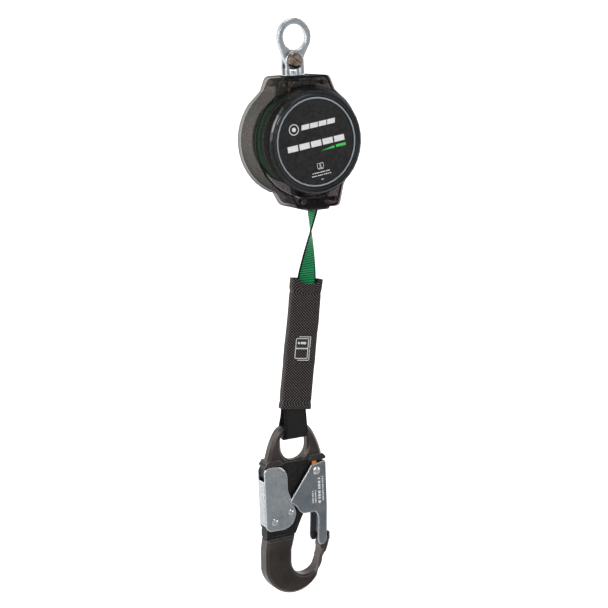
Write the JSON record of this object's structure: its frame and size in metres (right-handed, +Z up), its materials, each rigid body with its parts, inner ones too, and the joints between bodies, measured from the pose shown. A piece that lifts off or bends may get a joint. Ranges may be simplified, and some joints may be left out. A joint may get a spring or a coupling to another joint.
{
  "type": "self retracting lifeline",
  "caption": "Personal fall limiter: clear round housing on a swivel eye, web line with a covered shock pack, and a locking snap hook.",
  "frame": {"origin": "centre of the round hole in the anchor eye, where the whole object hangs", "axes": "+Z up the hanging line; -Y out of the labelled front face; +X to the right of the label"},
  "size_m": [0.1148, 0.061, 0.5874],
  "materials": {
    "zinc": "bright zinc plated, satin",
    "bolt_steel": "polished plated steel with a warm tint",
    "bronze": "sintered bronze, satin",
    "brass": "machined brass",
    "frame_steel": "cold rolled, plain",
    "spring_steel": "blued spring steel",
    "smoke_clear": "smoke tinted clear polycarbonate, glossy",
    "seal_rubber": "black gasket",
    "bezel_plastic": "black, semi gloss",
    "label": "printed black film, satin",
    "trim": "silver printed ring",
    "inner_plastic": "black moulded nylon",
    "web_green": "woven polyester webbing, green with dark edges",
    "cover_fabric": "black woven nylon sleeve",
    "web_black": "woven polyester webbing, black",
    "hook_black": "dark anodised forging, semi gloss",
    "tell_tale": "orange paint"
  },
  "bodies": {
    "anchor": {"anchor_eye": "zinc", "eye_bush": "bronze"},
    "yoke": {"swivel_yoke": "zinc", "clevis_bolt": "bolt_steel", "clevis_nut": "zinc", "swivel_stud": "zinc", "thrust_washer": "bronze", "stud_nut": "zinc"},
    "housing": {"rear_shell": "smoke_clear", "front_shell": "smoke_clear", "housing_seal": "seal_rubber", "front_bezel": "bezel_plastic", "label_disc": "label", "trim_ring": "trim", "housing_screw_1": "bolt_steel", "housing_screw_2": "bolt_steel", "housing_screw_3": "bolt_steel", "housing_screw_4": "bolt_steel", "thread_insert_1": "brass", "thread_insert_2": "brass", "thread_insert_3": "brass", "thread_insert_4": "brass", "frame_plate_front": "frame_steel", "frame_plate_rear": "frame_steel", "swivel_block": "inner_plastic", "frame_bolt_1": "frame_steel", "frame_bolt_2": "frame_steel", "retaining_pin": "zinc", "frame_tie": "zinc", "shaft_bush_front": "bronze", "shaft_bush_rear": "bronze", "ratchet_ring": "frame_steel", "spring_case": "inner_plastic", "power_spring": "spring_steel", "guide_block": "inner_plastic", "outlet_nozzle": "inner_plastic", "web_lead": "web_green"},
    "drum": {"main_shaft": "frame_steel", "drum_hub": "inner_plastic", "drum_flange_front": "frame_steel", "drum_flange_rear": "frame_steel", "web_pack": "web_green", "pawl_carrier": "frame_steel", "spring_arbor": "frame_steel"},
    "pawl_a": {"pawl_1": "bronze"},
    "pawl_b": {"pawl_2": "bronze"},
    "line_end": {"lifeline_web": "web_green", "shock_cover": "cover_fabric", "shock_pack": "web_black", "hook_loop": "web_black"},
    "hook": {"hook_body": "hook_black", "gate_rivet": "zinc", "lever_rivet": "zinc", "gate_spring": "spring_steel", "lock_spring": "spring_steel", "gate_tell_tale": "tell_tale"},
    "gate": {"gate": "zinc"},
    "lock_lever": {"lock_lever": "zinc", "lock_pin": "zinc"}
  },
  "joints": [
    {"name": "eye_swing", "type": "hinge", "parent": "anchor", "child": "yoke", "pos_m": [-0.0023, 0, -0.023], "axis": [0, 1, 0], "range_deg": [-60, 60]},
    {"name": "swivel_turn", "type": "hinge", "parent": "yoke", "child": "housing", "pos_m": [-0.0023, 0, -0.045], "axis": [0, 0, 1], "continuous": true},
    {"name": "drum_spin", "type": "hinge", "parent": "housing", "child": "drum", "pos_m": [-0.0023, -0.005, -0.1005], "axis": [0, 1, 0], "range_deg": [0, 2640.2]},
    {"name": "pawl_a_swing", "type": "hinge", "parent": "drum", "child": "pawl_a", "pos_m": [0.0177, -0.0253, -0.1005], "axis": [0, -1, 0], "range_deg": [0, 40], "stiffness_Nm_per_rad": 0.002, "springref_deg": -22.92},
    {"name": "pawl_b_swing", "type": "hinge", "parent": "drum", "child": "pawl_b", "pos_m": [-0.0223, -0.0253, -0.1005], "axis": [0, -1, 0], "range_deg": [0, 40], "stiffness_Nm_per_rad": 0.002, "springref_deg": -22.92},
    {"name": "payout", "type": "slide", "parent": "housing", "child": "line_end", "axis": [0, 0, -1], "range_m": [0, 1.5], "stiffness_N_per_m": 5, "springref_m": -3, "deforming": ["lifeline_web"]},
    {"name": "hook_swing", "type": "hinge", "parent": "line_end", "child": "hook", "pos_m": [-0.0166, 0, -0.39675], "axis": [1, 0, 0], "range_deg": [-75, 75]},
    {"name": "gate_open", "type": "hinge", "parent": "hook", "child": "gate", "pos_m": [0.0039, 0, -0.4416], "axis": [0, 1, 0], "range_deg": [0, 27], "stiffness_Nm_per_rad": 0.2, "springref_deg": -57.3},
    {"name": "lever_press", "type": "hinge", "parent": "hook", "child": "lock_lever", "pos_m": [-0.0453, 0, -0.4888], "axis": [0, 1, 0], "range_deg": [0, 9], "stiffness_Nm_per_rad": 0.2, "springref_deg": -28.65}
  ],
  "couplings": [
    {"joint": "drum_spin", "follows": "payout", "rad_per_m": 30.718},
    {"joint": "lever_press", "follows": "gate_open", "ratio": 0.3}
  ]
}
